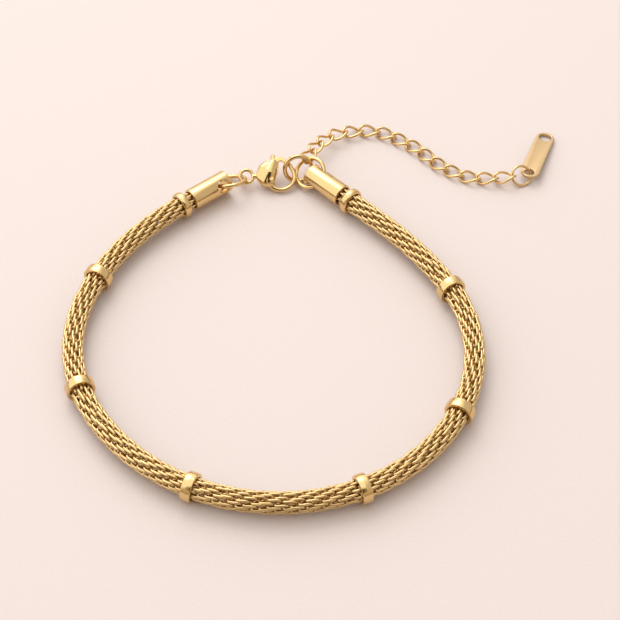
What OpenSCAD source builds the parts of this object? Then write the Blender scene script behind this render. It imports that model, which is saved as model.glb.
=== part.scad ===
// Mesh bracelet with ring bands, barrel end caps, a lobster clasp and an extension chain.
// Lengths are in millimetres. The bracelet lies on the plane z = 0, and the origin is the
// middle of the wrist opening on that plane. The clasp is at the back, towards +Y.

/* [Mesh tube] */
// Length of the mesh that shows between the two end caps
mesh_length = 158; // [150:1:166]
// Outer diameter of the mesh
mesh_d = 3.2; // [3:0.1:3.5]
// Thickness of the knitted wall
mesh_wall = 0.7; // [0.5:0.05:0.9]
// Length of the narrowed mesh that shows at a cap's mouth
neck_show = 0.5; // [0.3:0.1:1]
// Length over which the mesh narrows to its neck
neck_taper = 0.5; // [0.4:0.1:1]
// Length of mesh inside each end cap
seat_depth = 3; // [2:0.1:3.4]

/* [Bands] */
// Gap between the mesh and the bore of a band, on each side
band_fit = 0.08; // [0.06:0.01:0.15]
// Wall thickness of the six wide bands
band_wall = 0.48; // [0.45:0.01:0.6]
// Width of the six wide bands along the mesh
band_w = 1.5; // [1.2:0.1:2.2]
// Radius of the rounded edges of the wide bands
band_edge_r = 0.2; // [0.1:0.01:0.35]
// Wall thickness of the two end bands
end_band_wall = 0.4; // [0.35:0.01:0.45]
// Width of the two end bands
end_band_w = 1.2; // [1:0.1:1.6]
// Radius of the rounded edges of the end bands
end_band_edge_r = 0.3; // [0.1:0.01:0.34]
// Gap from the mesh's taper to an end band
end_band_gap = 0.1; // [0.1:0.1:0.8]

/* [End caps] */
// Outer diameter of the end caps
cap_d = 3.5; // [3.4:0.1:3.6]
// Length of the end caps
cap_length = 6.9; // [6.8:0.1:9]
// Wall thickness of the end caps round the mesh
cap_wall = 0.3; // [0.2:0.05:0.4]
// Gap between the necked mesh and the cap's bore, on each side
cap_fit = 0.1; // [0.05:0.01:0.2]
// Diameter of the cross hole for the ring
cap_hole_d = 2.3; // [2.3:0.05:2.4]
// Metal left between the cross hole and the closed end
cap_rim = 0.35; // [0.25:0.01:0.35]
// Radius of the rounded outer edges of the caps
cap_edge_r = 0.15; // [0.05:0.01:0.2]
// Tilt of the left cap's cross hole above the level
left_hole_tilt = 28; // [26:1:30]
// Tilt of the right cap's cross hole above the level
right_hole_tilt = 35; // [33:1:37]

/* [Jump rings] */
// Outer diameter of the left cap's ring
left_ring_d = 5.6; // [5.55:0.05:5.8]
// Outer diameter of the right cap's ring
right_ring_d = 5.4; // [5.35:0.05:5.5]
// Wire diameter of the cap rings
cap_ring_wire = 0.6; // [0.5:0.01:0.62]
// Outer diameter of the clasp's ring
clasp_ring_d = 4.95; // [4.9:0.05:5.05]
// Wire diameter of the clasp's ring
clasp_ring_wire = 0.65; // [0.55:0.01:0.66]

/* [Clasp] */
// Outer diameter of the tail ring
tail_ring_d = 2.66; // [2.6:0.01:2.75]
// Wire diameter of the tail ring
tail_ring_wire = 0.56; // [0.5:0.01:0.58]
// Distance from the middle of the tail ring to the middle of the hook
hook_reach = 5.5; // [5.4:0.05:5.7]
// Outer diameter of the round part of the hook
hook_d = 4.98; // [4.94:0.02:5.06]
// Wire diameter of the hook
hook_wire = 0.68; // [0.6:0.01:0.7]
// Thickness of the clasp's body at its crown
body_t = 2.6; // [2.4:0.05:2.8]
// Thickness of the lever
lever_t = 0.9; // [0.7:0.05:1]
// Gap between the lever and each cheek of the body
lever_fit = 0.1; // [0.08:0.01:0.15]
// Width of the lever's arm
arm_w = 0.9; // [0.75:0.01:0.95]
// Width of the lever's gate
gate_w = 0.72; // [0.6:0.01:0.75]
// Diameter of the lever's thumb knob
knob_d = 0.84; // [0.7:0.01:0.9]
// Diameter of the pin that the lever turns on
pin_d = 0.6; // [0.4:0.05:0.7]
// Gap between the pin and the bore of the lever
pin_fit = 0.05; // [0.03:0.01:0.08]
// Gap between the pin and its seats in the cheeks
seat_fit = 0.02; // [0.01:0.01:0.04]

/* [Extension chain] */
// Wire diameter of the chain's links
link_wire = 0.38; // [0.3:0.01:0.4]
// Outer length of a link
link_length = 3.75; // [3.72:0.01:3.8]
// Outer width of a link before it is twisted
link_width = 2.45; // [2.42:0.01:2.55]
// Twist of a link from its middle to each end
link_twist = 45; // [43:1:47]
// Distance from one link to the next
link_pitch = 2.75; // [2.72:0.01:2.77]
// Gap between the wires where the chain hooks onto a ring
hook_gap = 0.12; // [0.1:0.01:0.14]

/* [Tag] */
// Length of the tag
tag_length = 12.4; // [11:0.1:14]
// Width of the tag
tag_w = 2.6; // [2.5:0.1:3]
// Thickness of the tag
tag_t = 0.5; // [0.4:0.05:0.55]
// Diameter of the round hole for the tag's ring
tag_hole_d = 1.4; // [1.4:0.05:1.5]
// Metal left between the tag's holes and its ends
tag_rim = 0.5; // [0.45:0.01:0.55]
// Width of the slot along the tag
slot_w = 1.1; // [0.8:0.1:1.3]
// Outer diameter of the tag's ring
tag_ring_d = 3.5; // [3.45:0.05:3.7]
// Wire diameter of the tag's ring
tag_ring_wire = 0.37; // [0.3:0.01:0.38]

/* [Hidden] */
link_count = 15;
band_count = 8;
function link_name(i) = str("chain_link_", i < 10 ? "0" : "", i);

gold = [0.85, 0.68, 0.38];
mesh_gold = [0.78, 0.62, 0.34];
lever_gold = [0.9, 0.74, 0.44];
$fn = 48;

// A small length that lets a cut run clear of a face
over = 0.5;
up = [0, 0, 1];

// The mesh as a run of arcs from the left cap to the right one.
// Columns: share of the bent length, share of the whole turn.
LEG_LENGTH = 0;
LEG_TURN = 1;
mesh_legs = [
    [0.05, 0.030],
    [0.10, 0.0885],
    [0.14, 0.179],
    [0.14, 0.1395],
    [0.14, 0.1515],
    [0.14, 0.1635],
    [0.14, 0.187],
    [0.10, 0.057],
    [0.05, 0.004]
];
// Where the six wide bands sit, as shares of the mesh's length
band_shares = [0.1315, 0.2665, 0.419, 0.5715, 0.6945, 0.842];

// Diameters and heights that follow from the sizes above
wide_bore = mesh_d + 2 * band_fit;
wide_d = wide_bore + 2 * band_wall;
end_band_d = wide_bore + 2 * end_band_wall;
cap_bore = cap_d - 2 * cap_wall;
neck_d = cap_bore - 2 * cap_fit;
mesh_bore = mesh_d - 2 * mesh_wall;
neck_bore = min(mesh_bore, neck_d - mesh_wall);
tube_z = max(wide_d, cap_d, end_band_d) / 2;
hole_inset = cap_rim + cap_hole_d / 2;
left_ring_r = (left_ring_d - cap_ring_wire) / 2;
right_ring_r = (right_ring_d - cap_ring_wire) / 2;
clasp_ring_r = (clasp_ring_d - clasp_ring_wire) / 2;
tail_r = (tail_ring_d - tail_ring_wire) / 2;
hook_r = (hook_d - hook_wire) / 2;

// Vectors and turns
function unit(v) = v / norm(v);
function heading_vector(a) = [cos(a), sin(a), 0];
function slope_vector(heading, slope) = cos(slope) * heading_vector(heading) + sin(slope) * up;
function about_x(v, a) = [v.x, v.y * cos(a) - v.z * sin(a), v.y * sin(a) + v.z * cos(a)];
function about_y(v, a) = [v.x * cos(a) + v.z * sin(a), v.y, v.z * cos(a) - v.x * sin(a)];
function about_z(v, a) = [v.x * cos(a) - v.y * sin(a), v.x * sin(a) + v.y * cos(a), v.z];
function turned(v, pose) = about_z(about_y(about_x(v, pose.x), pose.y), pose.z);
function flat(v) = [v.x, v.y];

// Plane geometry of a run of arcs
function radians(a) = a * PI / 180;
function turn_step(len, turn, heading) =
    len / radians(turn) * [sin(heading + turn) - sin(heading), cos(heading) - cos(heading + turn)];
// Point and heading at a distance along the legs
function walk(legs, distance, origin, start, i = 0) =
    i == len(legs) - 1 || distance <= legs[i][LEG_LENGTH]
        ? let (turn = legs[i][LEG_TURN] * distance / legs[i][LEG_LENGTH])
            concat(origin + (distance == 0 ? [0, 0] : turn_step(distance, turn, start)), [start + turn])
        : walk(
            legs,
            distance - legs[i][LEG_LENGTH],
            origin + turn_step(legs[i][LEG_LENGTH], legs[i][LEG_TURN], start),
            start + legs[i][LEG_TURN],
            i + 1
        );

// A ring through a cap's cross hole. The heading points out of the cap's closed end. Droop is
// how far the ring has swung up about the hole, reach is how far its middle lies beyond the
// closed end, and slide is how far it has moved along the hole.
left_droop = -11.6;
left_reach = 0.51;
left_slide = 0.04;
right_droop = -1;
right_reach = 0.22;
right_slide = 0.03;
function hole_axis(heading, tilt) =
    cos(tilt) * [sin(heading), -cos(heading), 0] + sin(tilt) * up;
function swing(heading, tilt, droop) =
    let (out = heading_vector(heading))
        cos(droop) * out + sin(droop) * cross(hole_axis(heading, tilt), out);
function ring_normal(heading, tilt, droop) =
    cross(hole_axis(heading, tilt), swing(heading, tilt, droop));
function from_hole(heading, tilt, droop, reach, slide) =
    (hole_inset + reach) * swing(heading, tilt, droop) + slide * hole_axis(heading, tilt);

// The clasp lies rolled onto its edge and nearly level. The tail ring hangs on the left ring, the
// clasp's ring hangs in the hook, and the right ring passes through the clasp's ring.
// Offsets are shares of the mean radius of the ring that they start from.
clasp_pose = [30.4, 0.8, 0.3];
tail_hang = [0.47, -0.01, 0.475];
clasp_ring_hang = [1.274, 0.619, -0.02];
clasp_ring_lean = [0.156, -0.799, 1];
right_ring_hang = [0.862, -0.353, -0.053];
tail_from_left_ring = turned(tail_r * tail_hang, clasp_pose);
hook_from_tail = turned([hook_reach, 0, 0], clasp_pose);
clasp_ring_from_hook = turned(hook_r * clasp_ring_hang, clasp_pose);
right_ring_from_clasp_ring = clasp_ring_r * right_ring_hang;

// From the left cap's hole to the middle of the left ring, the tail ring and the clasp's ring
function left_ring_place(heading) =
    from_hole(heading, left_hole_tilt, left_droop, left_reach, left_slide);
function tail_place(heading) =
    left_ring_place(heading) + left_ring_r * swing(heading, left_hole_tilt, left_droop)
        + tail_from_left_ring;
function clasp_ring_place(heading) = tail_place(heading) + hook_from_tail + clasp_ring_from_hook;
function right_ring_place(heading) = clasp_ring_place(heading) + right_ring_from_clasp_ring;
// From the left cap's hole to the right one, for the headings of both caps
function hole_gap(headings) =
    flat(
        right_ring_place(headings[0])
            - from_hole(headings[1], right_hole_tilt, right_droop, right_reach, right_slide)
    );

// The mesh turns just so far that its two ends meet the clasp's rings
stub = cap_length - hole_inset + neck_show + neck_taper;
bent_length = mesh_length - 2 * (neck_show + neck_taper);
function legs_for(turn) =
    [for (leg = mesh_legs) [leg[LEG_LENGTH] * bent_length, leg[LEG_TURN] * turn]];
function loop_width(turn) =
    flat(walk(legs_for(turn), bent_length, [stub, 0], 0)) + stub * [cos(turn), sin(turn)];
function closing_turn(gap, low, high, steps) =
    steps == 0
        ? (low + high) / 2
        : norm(loop_width((low + high) / 2)) > gap
            ? closing_turn(gap, (low + high) / 2, high, steps - 1)
            : closing_turn(gap, low, (low + high) / 2, steps - 1);
function bearing(v) = atan2(v.y, v.x);
// The turn is between these limits, and is halved in on this many times
turn_limits = [200, 295];
halvings = 30;
// Headings of the two caps, improved from a first guess
first_headings = [36, 137];
heading_passes = 5;
function settled(headings, passes) =
    passes == 0
        ? headings
        : let (
            gap = hole_gap(headings),
            turn = closing_turn(norm(gap), turn_limits[0], turn_limits[1], halvings),
            start = bearing(gap) - bearing(loop_width(turn))
        )
            settled([start + 180, start + turn], passes - 1);
cap_headings = settled(first_headings, heading_passes);
left_heading = cap_headings[0];
right_heading = cap_headings[1];
mesh_heading = left_heading - 180;
legs = legs_for(right_heading - mesh_heading);

// Steps along the bent mesh
mesh_steps = 60;
// The origin is the middle of the loop, caps included
loop_start = flat(stub * heading_vector(mesh_heading));
stations = concat(
    [[0, 0], hole_gap(cap_headings)],
    [for (i = [0:mesh_steps]) walk(legs, bent_length * i / mesh_steps, loop_start, mesh_heading)]
);
station_x = [for (s = stations) s.x];
station_y = [for (s = stations) s.y];
mesh_origin = loop_start - [min(station_x) + max(station_x), min(station_y) + max(station_y)] / 2;
mesh_end = walk(legs, bent_length, mesh_origin, mesh_heading);
left_hole = [mesh_origin.x, mesh_origin.y, tube_z] - stub * heading_vector(mesh_heading);
right_hole = [mesh_end.x, mesh_end.y, tube_z] + stub * heading_vector(right_heading);
left_ring_middle = left_hole + left_ring_place(left_heading);
tail_middle = left_hole + tail_place(left_heading);
clasp_ring_middle = left_hole + clasp_ring_place(left_heading);
right_ring_middle = left_hole + right_ring_place(left_heading);
left_ring_normal = ring_normal(left_heading, left_hole_tilt, left_droop);
right_ring_normal = ring_normal(right_heading, right_hole_tilt, right_droop);
clasp_ring_normal = turned(unit(clasp_ring_lean), clasp_pose);

// Places in the clasp's own frame, whose origin is the tail ring's middle. +X points to the
// hook, +Y to the knob, and Z is the clasp's thickness.
// Columns: share of hook_reach, share of hook_r.
function spot(row) = [row[0] * hook_reach, row[1] * hook_r];
lever_pivot = spot([0.727, -0.233]);
arm_spots = [[0.727, -0.233], [0.84, 0.465], [0.855, 0.884], [0.80, 1.093]];
gate_spots = [[0.80, 1.093], [0.945, 1.265], [1.073, 1.274]];
knob_spots = [[0.782, 1.163], [0.755, 1.488]];
slot_spots = [[0.61, -0.23], [0.473, 0.93], [0.445, 1.67], [1.27, 1.67], [1.27, -0.42], [0.727, -0.535]];
cut_spots = [[0.80, -1.0], [0.955, 1.5], [1.3, 1.5], [1.3, -1.0]];
// The round masses that the clasp's body is wrapped round.
// Columns: share of hook_reach, share of hook_r, radius as a share of body_t.
body_masses = [[0.327, 0.05, 0.17], [0.655, -0.33, 0.395], [0.755, 0.91, 0.385], [0.673, 0.28, 0.5]];
// Sides of each mass
mass_sides = 32;
// The rod from the tail ring to the body, the pin's length and the knob's stalk, as shares
neck_growth = 1.3;
pin_share = 0.81;
stalk_share = 0.6;
// Metal round the bore of the lever
hub_wall = 0.2;
neck_wire = neck_growth * tail_ring_wire;
pin_length = pin_share * body_t;
stalk_w = stalk_share * knob_d;
hub_d = pin_d + 2 * (pin_fit + hub_wall);
slot_t = lever_t + 2 * lever_fit;

// Points in rings along a run, and the faces that join each ring to the next. A closed run also
// joins its last ring to its first.
function flat_ring(place, diameter, sides) =
    [for (j = [0:sides - 1])
        let (a = 360 * j / sides, reach = diameter / 2 * cos(a))
            [
                place.x + reach * sin(place[2]),
                place.y - reach * cos(place[2]),
                -diameter / 2 * sin(a)
            ]];
function run_faces(rings, sides, closed) =
    concat(
        [for (k = [0:rings - (closed ? 1 : 2)], j = [0:sides - 1])
            let (
                here = k * sides,
                next = (k + 1) % rings * sides,
                j2 = (j + 1) % sides
            )
                each [[here + j, next + j, next + j2], [here + j, next + j2, here + j2]]],
        closed ? [] : [
            [for (j = [0:sides - 1]) j],
            [for (j = [1:sides]) rings * sides - j]
        ]
    );

// Point and heading at a distance along the mesh from where it starts to bend
function along_mesh(distance) =
    let (
        bent = max(0, min(distance, bent_length)),
        place = walk(legs, bent, mesh_origin, mesh_heading),
        straight = distance - bent
    )
        concat(flat(place) + straight * flat(heading_vector(place[2])), [place[2]]);
// The mesh's sections from end to end. Columns: distance, outer diameter, bore.
mesh_sides = 20;
mesh_sections = concat(
    [[-neck_taper - neck_show - seat_depth, neck_d, neck_bore], [-neck_taper, neck_d, neck_bore]],
    [for (i = [0:mesh_steps]) [bent_length * i / mesh_steps, mesh_d, mesh_bore]],
    [
        [bent_length + neck_taper, neck_d, neck_bore],
        [bent_length + neck_taper + neck_show + seat_depth, neck_d, neck_bore]
    ]
);
mesh_section_count = len(mesh_sections);
mesh_points = [
    for (i = [0:mesh_section_count - 1])
        each flat_ring(along_mesh(mesh_sections[i][0]), mesh_sections[i][1], mesh_sides),
    for (i = [mesh_section_count - 1:-1:0])
        each flat_ring(along_mesh(mesh_sections[i][0]), mesh_sections[i][2], mesh_sides)
];

// The hook is a bow of wire about its middle, thicker at its root, with a straighter tip that
// ends in a round nose. Columns of a section: x, y, heading, wire diameter.
bow_angles = [-142, 25];
bow_steps = 17;
root_angle = -80;
root_growth = 0.45;
tip_turn = 17;
tip_r = 2.5 * hook_r;
tip_steps = 3;
nose_steps = 3;
nose_turn = 85;
hook_sides = 16;
function root_share(a) = max(0, (root_angle - a) / (root_angle - bow_angles[0]));
function bow_place(radius, a) = [radius * cos(a), radius * sin(a)];
tip_middle = bow_place(hook_r - tip_r, bow_angles[1]);
tip_end_angle = bow_angles[1] + tip_turn;
tip_end = tip_middle + bow_place(tip_r, tip_end_angle);
hook_sections = [
    for (i = [0:bow_steps])
        let (a = bow_angles[0] + (bow_angles[1] - bow_angles[0]) * i / bow_steps)
            concat(bow_place(hook_r, a), [a + 90, hook_wire * (1 + root_growth * root_share(a))]),
    for (i = [1:tip_steps])
        let (a = bow_angles[1] + tip_turn * i / tip_steps)
            concat(tip_middle + bow_place(tip_r, a), [a + 90, hook_wire]),
    for (i = [1:nose_steps])
        let (a = nose_turn * i / nose_steps)
            concat(
                tip_end + hook_wire / 2 * sin(a) * bow_place(1, tip_end_angle + 90),
                [tip_end_angle + 90, hook_wire * cos(a)]
            )
];
hook_points = [for (row = hook_sections) each flat_ring(row, row[3], hook_sides)];

// A link's wire runs along an oval whose two ends are twisted opposite ways
link_steps = 16;
wire_sides = 6;
link_a = (link_length - link_wire) / 2;
link_b = (link_width - link_wire) / 2;
function link_point(t) =
    let (twist = -link_twist * cos(t))
        [link_a * cos(t), link_b * sin(t) * cos(twist), link_b * sin(t) * sin(twist)];
function link_tangent(t) = unit(link_point(t + 1) - link_point(t - 1));
function outward(point, tangent) = unit(point - (point * tangent) * tangent);
function wire_ring(point, tangent, wire) =
    let (out = outward(point, tangent), side = cross(tangent, out))
        [for (j = [0:wire_sides - 1])
            let (a = 360 * j / wire_sides) point + wire / 2 * (cos(a) * out + sin(a) * side)];
link_points = [
    for (k = [0:link_steps - 1])
        let (t = 360 * k / link_steps)
            each wire_ring(link_point(t), link_tangent(t), link_wire)
];
link_rest_z = -min([for (p = link_points) p.z]);

// The chain's route, from link to link. Columns: heading of the step, height of the next link
// above one that lies flat, as a share of the pitch.
STEP_HEADING = 0;
STEP_LIFT = 1;
chain_route = [
    [66, 0.69],
    [55, 0.46],
    [39, 0.31],
    [23, 0.11],
    [7, 0.03],
    [-14, 0.01],
    [-31, 0],
    [-36, 0],
    [-46, 0],
    [-46, 0],
    [-36, 0.005],
    [-24, 0.02],
    [-9, 0.10],
    [-4, 0.26]
];
// The first link hooks onto the right ring, this far round it, and sets off this way
chain_hook_angle = -31;
chain_start = slope_vector(60, 1);
function ring_spot(normal, radius, angle) =
    let (level = unit(cross(normal, up)))
        radius * (cos(angle) * level + sin(angle) * cross(normal, level));
// From a hooked wire's middle to the middle of the link round it
function hook_step(wire) = link_a - (link_wire + wire) / 2 - hook_gap;
first_link = right_ring_middle
    + ring_spot(right_ring_normal, right_ring_r, chain_hook_angle)
    + hook_step(cap_ring_wire) * chain_start;
function next_link(place, row) =
    let (
        rise = link_rest_z + row[STEP_LIFT] * link_pitch - place.z,
        run = sqrt(max(link_pitch * link_pitch - rise * rise, 0))
    )
        place + run * heading_vector(row[STEP_HEADING]) + rise * up;
function link_place(i) = i == 1 ? first_link : next_link(link_place(i - 1), chain_route[i - 2]);
// The last step rises this steeply to the tag's ring
chain_end_slope = 13.7;
chain_end = slope_vector(0, chain_end_slope);
function step_into(i) = i == 1 ? chain_start : unit(link_place(i) - link_place(i - 1));
function step_from(i) = i == link_count ? chain_end : step_into(i + 1);
function link_axis(i) = unit(step_into(i) + step_from(i));

// The tag's ring leans on its lowest point, and the tag hangs from it with its far end down
tag_ring_heading = 23.9;
tag_ring_tilt = 43.9;
tag_ring_hook_angle = 164.4;
tag_heading = 68.8;
tag_ring_r = (tag_ring_d - tag_ring_wire) / 2;
tag_ring_level = heading_vector(tag_ring_heading);
tag_ring_steep = slope_vector(tag_ring_heading + 90, tag_ring_tilt);
tag_ring_place = link_place(link_count)
    + hook_step(tag_ring_wire) * chain_end
    - tag_ring_r * (cos(tag_ring_hook_angle) * tag_ring_level + sin(tag_ring_hook_angle) * tag_ring_steep);
tag_ring_z = tag_ring_r * sin(tag_ring_tilt) + tag_ring_wire / 2;
tag_ring_middle = [tag_ring_place.x, tag_ring_place.y, tag_ring_z];
tag_hole = tag_ring_middle + tag_ring_r * tag_ring_level;
tag_hole_inset = tag_rim + tag_hole_d / 2;
tag_slope = asin((tag_ring_z - tag_t / 2) / (tag_length - tag_hole_inset));

// A ring of round wire about Z
module wire_loop(mean_r, wire) {
    rotate_extrude() translate([mean_r, 0]) circle(d = wire);
}

// Turns the Z axis to a normal and moves the origin to a middle
module facing(middle, normal) {
    translate(middle) rotate([0, acos(normal.z), bearing(normal)]) children();
}

// Stands the children at a distance along the bent mesh, with +X along it
module at_mesh(distance) {
    place = along_mesh(distance);
    translate([place.x, place.y, tube_z]) rotate([0, 0, place[2]]) children();
}

// A rod along +X from x1 to x2
module rod(diameter, x1, x2) {
    translate([x1, 0, 0]) rotate([0, 90, 0]) cylinder(d = diameter, h = x2 - x1);
}

module mesh_tube() {
    color(mesh_gold)
        translate([0, 0, tube_z])
            polyhedron(mesh_points, run_faces(2 * mesh_section_count, mesh_sides, true));
}

// Half section of a ring with rounded outer edges. X is the radius and Y runs along the ring.
module rounded_section(inner_d, outer_d, width, edge_r) {
    inner_r = inner_d / 2;
    wall = (outer_d - inner_d) / 2;
    intersection() {
        translate([inner_r, -width / 2]) square([wall, width]);
        union() {
            translate([inner_r, -width / 2]) square([wall - edge_r, width]);
            translate([inner_r, edge_r - width / 2]) square([wall, width - 2 * edge_r]);
            for (side = [-1, 1]) {
                translate([outer_d / 2 - edge_r, side * (width / 2 - edge_r)]) circle(r = edge_r);
            }
        }
    }
}

module band(i) {
    is_end = i == 1 || i == band_count;
    end_place = end_band_gap + end_band_w / 2;
    place = i == 1 ? end_place
        : i == band_count ? bent_length - end_place
        : band_shares[i - 2] * mesh_length - neck_show - neck_taper;
    color(gold) at_mesh(place) rotate([0, 90, 0]) rotate_extrude() {
        if (is_end) {
            rounded_section(wide_bore, end_band_d, end_band_w, end_band_edge_r);
        } else {
            rounded_section(wide_bore, wide_d, band_w, band_edge_r);
        }
    }
}

// A barrel whose closed end faces +X. The origin is the middle of its cross hole.
module end_cap(hole, heading, tilt) {
    color(gold) translate(hole) rotate([0, 0, heading]) difference() {
        translate([hole_inset - cap_length / 2, 0, 0])
            rotate([0, 90, 0])
                rotate_extrude() rounded_section(0, cap_d, cap_length, cap_edge_r);
        rod(cap_bore, hole_inset - cap_length - over, hole_inset - cap_length + seat_depth);
        rotate([90 - tilt, 0, 0]) cylinder(d = cap_hole_d, h = 2 * cap_d, center = true);
    }
}

module end_cap_left() {
    end_cap(left_hole, left_heading, left_hole_tilt);
}

module end_cap_right() {
    end_cap(right_hole, right_heading, right_hole_tilt);
}

module cap_link_left() {
    color(gold) facing(left_ring_middle, left_ring_normal) wire_loop(left_ring_r, cap_ring_wire);
}

module cap_link_right() {
    color(gold) facing(right_ring_middle, right_ring_normal) wire_loop(right_ring_r, cap_ring_wire);
}

module clasp_ring() {
    color(gold) facing(clasp_ring_middle, clasp_ring_normal) wire_loop(clasp_ring_r, clasp_ring_wire);
}

module in_clasp() {
    translate(tail_middle) rotate(clasp_pose) children();
}

module hook() {
    translate([hook_reach, 0, 0])
        polyhedron(hook_points, run_faces(len(hook_sections), hook_sides, false));
}

module clasp_body() {
    color(gold) in_clasp() difference() {
        union() {
            wire_loop(tail_r, tail_ring_wire);
            rod(neck_wire, tail_r, body_masses[0][0] * hook_reach);
            difference() {
                hull() {
                    for (row = body_masses) {
                        translate(spot(row)) sphere(r = row[2] * body_t, $fn = mass_sides);
                    }
                }
                linear_extrude(2 * body_t, center = true) polygon([for (row = cut_spots) spot(row)]);
                linear_extrude(slot_t, center = true) polygon([for (row = slot_spots) spot(row)]);
            }
            hook();
        }
        translate(lever_pivot) {
            cylinder(d = pin_d + 2 * seat_fit, h = 2 * body_t, center = true);
            cylinder(d = hub_d + 2 * lever_fit, h = slot_t, center = true);
        }
    }
}

module clasp_pin() {
    color(gold) in_clasp() translate(lever_pivot) cylinder(d = pin_d, h = pin_length, center = true);
}

// A stroke of even width with round ends
module stroke(from, to, width) {
    translate(from) circle(d = width);
    translate(to) circle(d = width);
    translate(from) rotate([0, 0, bearing(to - from)])
        translate([0, -width / 2]) square([norm(to - from), width]);
}

module strokes(rows, width) {
    for (i = [1:len(rows) - 1]) stroke(spot(rows[i - 1]), spot(rows[i]), width);
}

module clasp_lever() {
    color(lever_gold) in_clasp() {
        difference() {
            union() {
                linear_extrude(lever_t, center = true) {
                    translate(lever_pivot) circle(d = hub_d);
                    strokes(arm_spots, arm_w);
                    strokes(gate_spots, gate_w);
                    strokes(knob_spots, stalk_w);
                }
                translate(spot(knob_spots[1])) sphere(d = knob_d);
            }
            translate(lever_pivot)
                cylinder(d = pin_d + 2 * pin_fit, h = 2 * lever_t, center = true);
        }
    }
}

module chain_link(i) {
    axis = link_axis(i);
    color(gold)
        translate(link_place(i))
            rotate([0, -asin(axis.z), bearing(axis)])
                polyhedron(link_points, run_faces(link_steps, wire_sides, true));
}

module tag_ring() {
    color(gold)
        facing(tag_ring_middle, cross(tag_ring_level, tag_ring_steep))
            wire_loop(tag_ring_r, tag_ring_wire);
}

// A plate with round ends. The origin is the middle of its round hole, and +X runs along it.
module tag() {
    near_arc = tag_w / 2 - tag_hole_inset;
    far_arc = tag_length - tag_hole_inset - tag_w / 2;
    slot_d = tag_w - 2 * tag_rim;
    color(gold) translate(tag_hole) rotate([0, tag_slope, tag_heading])
        linear_extrude(tag_t, center = true) difference() {
            stroke([near_arc, 0], [far_arc, 0], tag_w);
            circle(d = tag_hole_d);
            translate([far_arc, 0]) intersection() {
                circle(d = slot_d);
                translate([slot_d / 2 - slot_w, -slot_d / 2]) square([slot_w, slot_d]);
            }
        }
}

mesh_tube();
for (i = [1:band_count]) {
    band(i);
}
end_cap_left();
end_cap_right();
cap_link_left();
cap_link_right();
clasp_body();
clasp_pin();
clasp_lever();
clasp_ring();
for (i = [1:link_count]) {
    chain_link(i);
}
tag_ring();
tag();
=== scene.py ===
"""Looks of the mesh bracelet: knitted gold wire, polished trim, a lobster clasp, a chain and a tag.

Shapes are worked out in millimetres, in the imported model's frame, and written to Blender in metres.
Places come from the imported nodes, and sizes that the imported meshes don't tell are named here.
"""

import logging
import math
from dataclasses import dataclass, field
from enum import Enum
from typing import Any, Sequence

import bmesh
import bpy
import numpy as np
from mathutils import Matrix, Vector


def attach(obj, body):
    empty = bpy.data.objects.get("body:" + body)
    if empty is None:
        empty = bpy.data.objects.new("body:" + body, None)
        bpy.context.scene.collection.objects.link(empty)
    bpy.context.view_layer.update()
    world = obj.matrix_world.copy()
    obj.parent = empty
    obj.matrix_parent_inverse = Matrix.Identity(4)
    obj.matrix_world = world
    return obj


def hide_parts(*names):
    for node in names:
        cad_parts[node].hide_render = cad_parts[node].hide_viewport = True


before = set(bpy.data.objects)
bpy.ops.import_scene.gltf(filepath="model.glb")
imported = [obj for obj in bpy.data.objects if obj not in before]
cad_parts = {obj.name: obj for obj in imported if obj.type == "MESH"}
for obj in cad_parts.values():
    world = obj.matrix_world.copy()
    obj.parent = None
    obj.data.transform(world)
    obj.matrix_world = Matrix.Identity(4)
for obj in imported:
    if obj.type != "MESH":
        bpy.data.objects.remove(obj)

log = logging.getLogger("bracelet")

MM = 0.001
UP = np.array([0.0, 0.0, 1.0])
TURN = 2.0 * math.pi
Colour = tuple[float, float, float]


class Body(Enum):
    """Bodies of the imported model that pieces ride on."""

    BRACELET = "bracelet"
    LEVER = "lever"


class Slot(Enum):
    """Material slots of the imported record."""

    GOLD = "gold"
    MESH = "mesh_gold"
    LEVER = "lever_gold"


# Shaders


class Value:
    """A shader socket that builds maths nodes from plain operators."""

    def __init__(self, graph: "Graph", socket: bpy.types.NodeSocket) -> None:
        """Wraps a socket.

        Args:
            graph: The graph that new nodes go into.
            socket: The output socket to wrap.
        """
        self.graph = graph
        self.socket = socket

    def _math(self, operation: str, left: Any, right: Any) -> "Value":
        """Adds one Math node.

        Args:
            operation: Blender's name of the operation.
            left: The first operand, a Value or a number.
            right: The second operand, a Value or a number.

        Returns:
            The node's result.
        """
        node = self.graph.node("ShaderNodeMath", {"operation": operation}, {0: left, 1: right})
        return Value(self.graph, node.outputs[0])

    def __add__(self, other: Any) -> "Value":
        """Adds a Value or a number."""
        return self._math("ADD", self, other)

    def __mul__(self, other: Any) -> "Value":
        """Multiplies by a Value or a number."""
        return self._math("MULTIPLY", self, other)


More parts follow.
